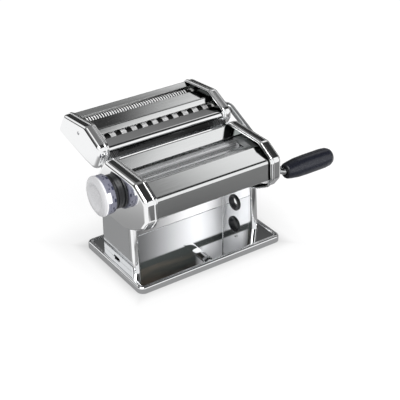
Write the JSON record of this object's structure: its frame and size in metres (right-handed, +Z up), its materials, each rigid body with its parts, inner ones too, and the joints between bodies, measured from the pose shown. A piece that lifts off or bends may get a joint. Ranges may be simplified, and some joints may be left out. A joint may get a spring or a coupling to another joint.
{
  "type": "pasta roller machine",
  "caption": "Tabletop pasta roller with a chromed pedestal, smooth sheeting rollers, thickness knob, lift-off cutter head and a hand crank.",
  "frame": {"origin": "centre of the base's footprint, on the table under the feet", "axes": "+X along the rollers towards the crank, -Y towards the front fascia, +Z up"},
  "size_m": [0.296, 0.1935, 0.1553],
  "materials": {
    "chromed_sheet": "polished",
    "plated_steel": "satin",
    "roller_aluminium": "satin",
    "gear_steel": "satin",
    "bush_plastic": "matte",
    "guide_plastic": "matte",
    "chromed_rod": "polished",
    "dark_plastic": "satin",
    "dial_plastic": "satin",
    "cap_plastic": "satin",
    "foot_rubber": "matte"
  },
  "bodies": {
    "frame": {"base_plate": "chromed_sheet", "foot_front_left": "foot_rubber", "foot_front_right": "foot_rubber", "foot_rear_left": "foot_rubber", "foot_rear_right": "foot_rubber", "left_frame_plate": "plated_steel", "right_frame_plate": "plated_steel", "left_pedestal_cover": "chromed_sheet", "right_pedestal_cover": "chromed_sheet", "left_cheek": "chromed_sheet", "right_cheek": "chromed_sheet", "rear_panel": "chromed_sheet", "feed_plate": "chromed_sheet", "front_fascia": "chromed_sheet", "front_scraper": "plated_steel", "tie_rod_front": "plated_steel", "tie_rod_rear": "plated_steel", "left_end_guide": "guide_plastic", "right_end_guide": "guide_plastic", "front_bush_left": "bush_plastic", "front_bush_right": "bush_plastic", "lug_bush": "dark_plastic", "regulator_collar": "dark_plastic", "left_rail": "plated_steel", "right_rail": "plated_steel"},
    "front_roller": {"front_roller": "roller_aluminium", "front_roller_gear": "gear_steel"},
    "rear_bearings": {"rear_bearing_left": "plated_steel", "rear_bearing_right": "plated_steel", "rear_scraper": "plated_steel"},
    "rear_roller": {"rear_roller": "roller_aluminium", "rear_roller_gear": "gear_steel"},
    "regulator_shaft": {"regulator_spindle": "gear_steel"},
    "regulator_knob": {"regulator_dial": "dial_plastic", "regulator_cap": "cap_plastic"},
    "cutter_head": {"cutter_left_frame_plate": "plated_steel", "cutter_right_frame_plate": "plated_steel", "cutter_left_cheek": "chromed_sheet", "cutter_right_cheek": "chromed_sheet", "cutter_rear_plate": "chromed_sheet", "cutter_middle_plate": "chromed_sheet", "cutter_front_plate": "chromed_sheet", "left_channel": "plated_steel", "right_channel": "plated_steel", "wide_cutter_bushes": "bush_plastic", "fine_cutter_bushes": "bush_plastic", "wide_comb_front": "plated_steel", "wide_comb_rear": "plated_steel"},
    "wide_cutter_driven": {"wide_cutter_rear": "roller_aluminium", "wide_cutter_gear_rear": "gear_steel"},
    "wide_cutter_mate": {"wide_cutter_front": "roller_aluminium", "wide_cutter_gear_front": "gear_steel"},
    "fine_cutter_driven": {"fine_cutter_front": "roller_aluminium", "fine_cutter_gear_front": "gear_steel"},
    "fine_cutter_mate": {"fine_cutter_rear": "roller_aluminium", "fine_cutter_gear_rear": "gear_steel"},
    "crank": {"crank_rod": "chromed_rod", "grip_rivet": "chromed_rod"},
    "grip": {"crank_grip": "dark_plastic"}
  },
  "joints": [
    {"name": "front_roller_spin", "type": "hinge", "parent": "frame", "child": "front_roller", "pos_m": [0, -0.02519, 0.10391], "axis": [1, 0, 0], "continuous": true},
    {"name": "rear_roller_gap", "type": "slide", "parent": "frame", "child": "rear_bearings", "axis": [0, 0.9928, -0.1201], "range_m": [0, 0.0042]},
    {"name": "rear_roller_spin", "type": "hinge", "parent": "rear_bearings", "child": "rear_roller", "pos_m": [0, 0.003, 0.1005], "axis": [1, 0, 0], "continuous": true},
    {"name": "regulator_turn", "type": "hinge", "parent": "frame", "child": "regulator_shaft", "pos_m": [-0.1, 0.003, 0.1005], "axis": [-1, 0, 0], "range_deg": [0, 324]},
    {"name": "regulator_pull", "type": "slide", "parent": "regulator_shaft", "child": "regulator_knob", "axis": [-1, 0, 0], "range_m": [0, 0.004], "stiffness_N_per_m": 600, "springref_m": -0.004},
    {"name": "cutter_head_lift", "type": "slide", "parent": "frame", "child": "cutter_head", "axis": [0, -0.5764, 0.8171], "range_m": [0, 0.03]},
    {"name": "wide_cutter_spin", "type": "hinge", "parent": "cutter_head", "child": "wide_cutter_driven", "pos_m": [0, 0.0622, 0.1294], "axis": [1, 0, 0], "continuous": true},
    {"name": "wide_cutter_mate_spin", "type": "hinge", "parent": "cutter_head", "child": "wide_cutter_mate", "pos_m": [0, 0.046, 0.1294], "axis": [1, 0, 0], "continuous": true},
    {"name": "fine_cutter_spin", "type": "hinge", "parent": "cutter_head", "child": "fine_cutter_driven", "pos_m": [0, 0.0877, 0.1324], "axis": [1, 0, 0], "continuous": true},
    {"name": "fine_cutter_mate_spin", "type": "hinge", "parent": "cutter_head", "child": "fine_cutter_mate", "pos_m": [0, 0.1053, 0.1324], "axis": [1, 0, 0], "continuous": true},
    {"name": "crank_pull", "type": "slide", "parent": "wide_cutter_driven", "child": "crank", "axis": [1, 0, 0], "range_m": [0, 0.016]},
    {"name": "grip_spin", "type": "hinge", "parent": "crank", "child": "grip", "pos_m": [0.15, -0.04421, 0.08247], "axis": [1, 0, 0], "continuous": true}
  ],
  "couplings": [
    {"joint": "rear_roller_spin", "follows": "front_roller_spin", "ratio": -1},
    {"joint": "regulator_turn", "follows": "rear_roller_gap", "rad_per_m": 1346.4},
    {"joint": "wide_cutter_mate_spin", "follows": "wide_cutter_spin", "ratio": -1},
    {"joint": "fine_cutter_mate_spin", "follows": "fine_cutter_spin", "ratio": -1}
  ]
}
